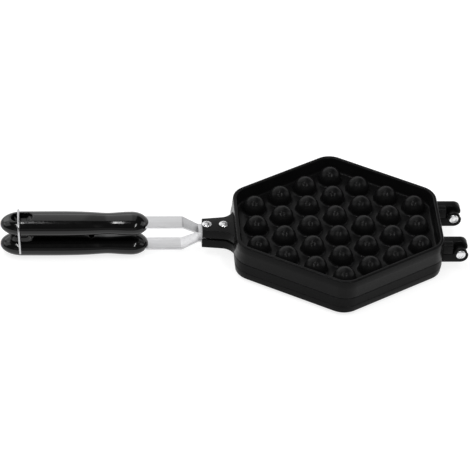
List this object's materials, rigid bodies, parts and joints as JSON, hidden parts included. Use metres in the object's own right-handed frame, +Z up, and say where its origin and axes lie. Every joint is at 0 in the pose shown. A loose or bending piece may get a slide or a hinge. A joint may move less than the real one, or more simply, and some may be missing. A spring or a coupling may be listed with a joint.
{
  "type": "egg waffle pan",
  "caption": "Hinged hexagonal stovetop pan with ball-shaped waffle cavities in both halves, bolted strip shanks, two moulded handles and a wire locking bail.",
  "frame": {"origin": "middle of the closed pan's footprint, on the surface that it lies on", "axes": "+X from the handles to the hinge, +Y across the pan, +Z up"},
  "size_m": [0.4554, 0.1968, 0.0458],
  "materials": {
    "pan_coat": "cast aluminium with a dark satin non-stick coat",
    "strip_steel": "rolled steel strip, fine long grain",
    "handle_plastic": "polished black heat-resistant moulding",
    "wire_steel": "bright drawn wire",
    "fastener_steel": "bright plated",
    "rivet_steel": "bright turned heads"
  },
  "bodies": {
    "lower_half": {"lower_pan": "pan_coat", "lower_strip": "strip_steel", "lower_handle": "handle_plastic", "lower_handle_screw": "fastener_steel", "lower_lug_screw_outer": "fastener_steel", "lower_lug_nut_outer": "fastener_steel", "lower_lug_screw_inner": "fastener_steel", "lower_lug_nut_inner": "fastener_steel", "front_hinge_rivet": "rivet_steel", "front_rivet_washer": "rivet_steel", "rear_hinge_rivet": "rivet_steel", "rear_rivet_washer": "rivet_steel"},
    "upper_half": {"upper_pan": "pan_coat", "upper_strip": "strip_steel", "upper_handle": "handle_plastic", "upper_handle_screw": "fastener_steel", "upper_lug_screw_outer": "fastener_steel", "upper_lug_nut_outer": "fastener_steel", "upper_lug_screw_inner": "fastener_steel", "upper_lug_nut_inner": "fastener_steel"},
    "bail": {"lock_bail": "wire_steel"}
  },
  "joints": [
    {"name": "lid_hinge", "type": "hinge", "parent": "lower_half", "child": "upper_half", "pos_m": [0.21989, 0, 0.0223], "axis": [0, 1, 0], "range_deg": [0, 180]},
    {"name": "bail_swing", "type": "hinge", "parent": "lower_half", "child": "bail", "pos_m": [-0.20839, 0, 0.0099], "axis": [0, -1, 0], "range_deg": [0, 245]}
  ]
}
